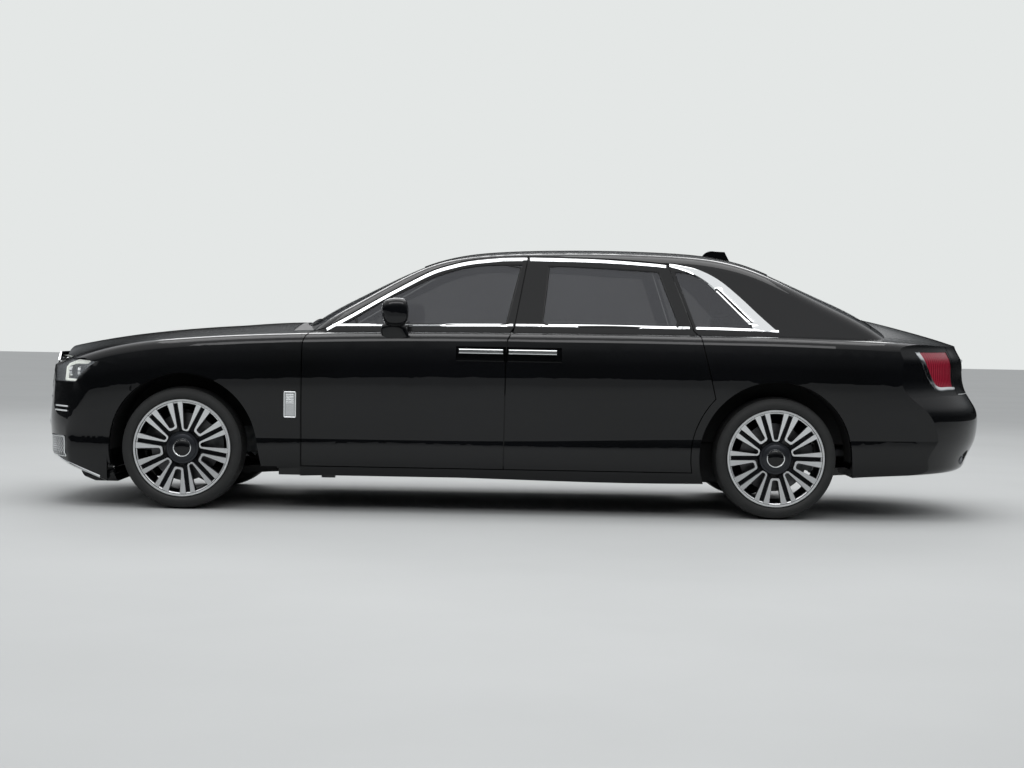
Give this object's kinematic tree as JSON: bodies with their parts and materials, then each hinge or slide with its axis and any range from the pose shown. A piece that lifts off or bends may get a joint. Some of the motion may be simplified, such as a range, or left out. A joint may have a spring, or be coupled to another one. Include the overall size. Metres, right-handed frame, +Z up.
{
  "type": "luxury saloon car",
  "caption": "Full-size four-door luxury saloon with rear-hinged back doors, opening bonnet and boot lid, hollow cabin, steered front wheels and four road wheels.",
  "frame": {"origin": "on the ground under the middle of the car", "axes": "+X forward, +Y to the left, +Z up"},
  "size_m": [5.715, 2.148, 1.5998],
  "materials": {
    "body_paint": "deep gloss black coach paint",
    "underbody_black": "matt black underbody coating",
    "chrome": "polished bright trim",
    "window_glass": "grey tinted glass",
    "lamp_glass": "clear lamp cover",
    "lamp_housing": "dark lamp housing",
    "tail_lamp_red": "deep red lens",
    "seat_leather": "smooth grain leather",
    "dash_leather": "black leather",
    "cast_metal": "cast",
    "exhaust_steel": "stainless",
    "black_plastic": "satin black",
    "tyre_rubber": "road tyre",
    "alloy_wheel": "part polished alloy",
    "brake_iron": "machined"
  },
  "bodies": {
    "body": {"body_side_left": "body_paint", "body_side_right": "body_paint", "boot_floor": "underbody_black", "cowl_panel": "underbody_black", "dashboard": "dash_leather", "engine_block": "cast_metal", "exhaust_system": "exhaust_steel", "floor_pan": "underbody_black", "front_bumper": "body_paint", "front_seats": "seat_leather", "front_subframe": "cast_metal", "front_wing_left": "body_paint", "front_wing_right": "body_paint", "headlamp_housings": "lamp_housing", "headlamp_lenses": "lamp_glass", "quarter_windows": "window_glass", "radiator_grille": "chrome", "rear_bulkhead": "underbody_black", "rear_bumper": "body_paint", "rear_seat": "seat_leather", "rear_subframe": "cast_metal", "rear_window": "window_glass", "roof_aerial": "black_plastic", "roof_panel": "body_paint", "tail_lamps": "tail_lamp_red", "transmission_tunnel": "underbody_black", "wheelhouse_liners": "underbody_black", "windscreen": "window_glass", "wipers": "black_plastic"},
    "bonnet": {"bonnet": "body_paint"},
    "boot_lid": {"boot_lid": "body_paint"},
    "steering_wheel": {"steering_wheel": "dash_leather"},
    "front_left_door": {"front_door_left": "body_paint", "front_door_glass_left": "window_glass", "front_door_handle_left": "chrome", "door_mirror_left": "body_paint"},
    "rear_left_door": {"rear_door_left": "body_paint", "rear_door_glass_left": "window_glass", "rear_door_handle_left": "chrome"},
    "front_left_knuckle": {"front_knuckle_left": "cast_metal"},
    "front_left_wheel": {"front_tyre_left": "tyre_rubber", "front_wheel_left": "alloy_wheel", "front_brake_disc_left": "brake_iron"},
    "rear_left_wheel": {"rear_tyre_left": "tyre_rubber", "rear_wheel_left": "alloy_wheel", "rear_brake_disc_left": "brake_iron"},
    "front_right_door": {"front_door_right": "body_paint", "front_door_glass_right": "window_glass", "front_door_handle_right": "chrome", "door_mirror_right": "body_paint"},
    "rear_right_door": {"rear_door_right": "body_paint", "rear_door_glass_right": "window_glass", "rear_door_handle_right": "chrome"},
    "front_right_knuckle": {"front_knuckle_right": "cast_metal"},
    "front_right_wheel": {"front_tyre_right": "tyre_rubber", "front_wheel_right": "alloy_wheel", "front_brake_disc_right": "brake_iron"},
    "rear_right_wheel": {"rear_tyre_right": "tyre_rubber", "rear_wheel_right": "alloy_wheel", "rear_brake_disc_right": "brake_iron"}
  },
  "joints": [
    {"name": "front_left_door_hinge", "type": "hinge", "parent": "body", "child": "front_left_door", "pos_m": [1.253, 0.992, 0.6], "axis": [0, 0, -1], "range_deg": [0, 68]},
    {"name": "rear_left_door_hinge", "type": "hinge", "parent": "body", "child": "rear_left_door", "pos_m": [-1.168, 0.992, 0.6], "axis": [0, 0, 1], "range_deg": [0, 80]},
    {"name": "front_right_door_hinge", "type": "hinge", "parent": "body", "child": "front_right_door", "pos_m": [1.253, -0.992, 0.6], "axis": [0, 0, 1], "range_deg": [0, 68]},
    {"name": "rear_right_door_hinge", "type": "hinge", "parent": "body", "child": "rear_right_door", "pos_m": [-1.168, -0.992, 0.6], "axis": [0, 0, -1], "range_deg": [0, 80]},
    {"name": "bonnet_hinge", "type": "hinge", "parent": "body", "child": "bonnet", "pos_m": [1.321, 0, 1.108], "axis": [0, -1, 0], "range_deg": [0, 50]},
    {"name": "boot_lid_hinge", "type": "hinge", "parent": "body", "child": "boot_lid", "pos_m": [-2.113, 0, 1.2], "axis": [0, 1, 0], "range_deg": [0, 75]},
    {"name": "front_left_steering", "type": "hinge", "parent": "body", "child": "front_left_knuckle", "pos_m": [1.943, 0.74, 0.358], "axis": [0, 0, 1], "range_deg": [-35, 35]},
    {"name": "front_right_steering", "type": "hinge", "parent": "body", "child": "front_right_knuckle", "pos_m": [1.943, -0.74, 0.358], "axis": [0, 0, 1], "range_deg": [-35, 35]},
    {"name": "steering_wheel_turn", "type": "hinge", "parent": "body", "child": "steering_wheel", "pos_m": [0.755, 0.375, 0.85], "axis": [-0.9135, 0, 0.4067], "range_deg": [-525, 525]},
    {"name": "front_left_wheel_spin", "type": "hinge", "parent": "front_left_knuckle", "child": "front_left_wheel", "pos_m": [1.943, 0.8225, 0.358], "axis": [0, 1, 0], "continuous": true},
    {"name": "rear_left_wheel_spin", "type": "hinge", "parent": "body", "child": "rear_left_wheel", "pos_m": [-1.522, 0.8175, 0.358], "axis": [0, 1, 0], "continuous": true},
    {"name": "front_right_wheel_spin", "type": "hinge", "parent": "front_right_knuckle", "child": "front_right_wheel", "pos_m": [1.943, -0.8225, 0.358], "axis": [0, 1, 0], "continuous": true},
    {"name": "rear_right_wheel_spin", "type": "hinge", "parent": "body", "child": "rear_right_wheel", "pos_m": [-1.522, -0.8175, 0.358], "axis": [0, 1, 0], "continuous": true}
  ],
  "couplings": [
    {"joint": "front_right_steering", "follows": "front_left_steering", "ratio": 1},
    {"joint": "steering_wheel_turn", "follows": "front_left_steering", "ratio": 15}
  ]
}
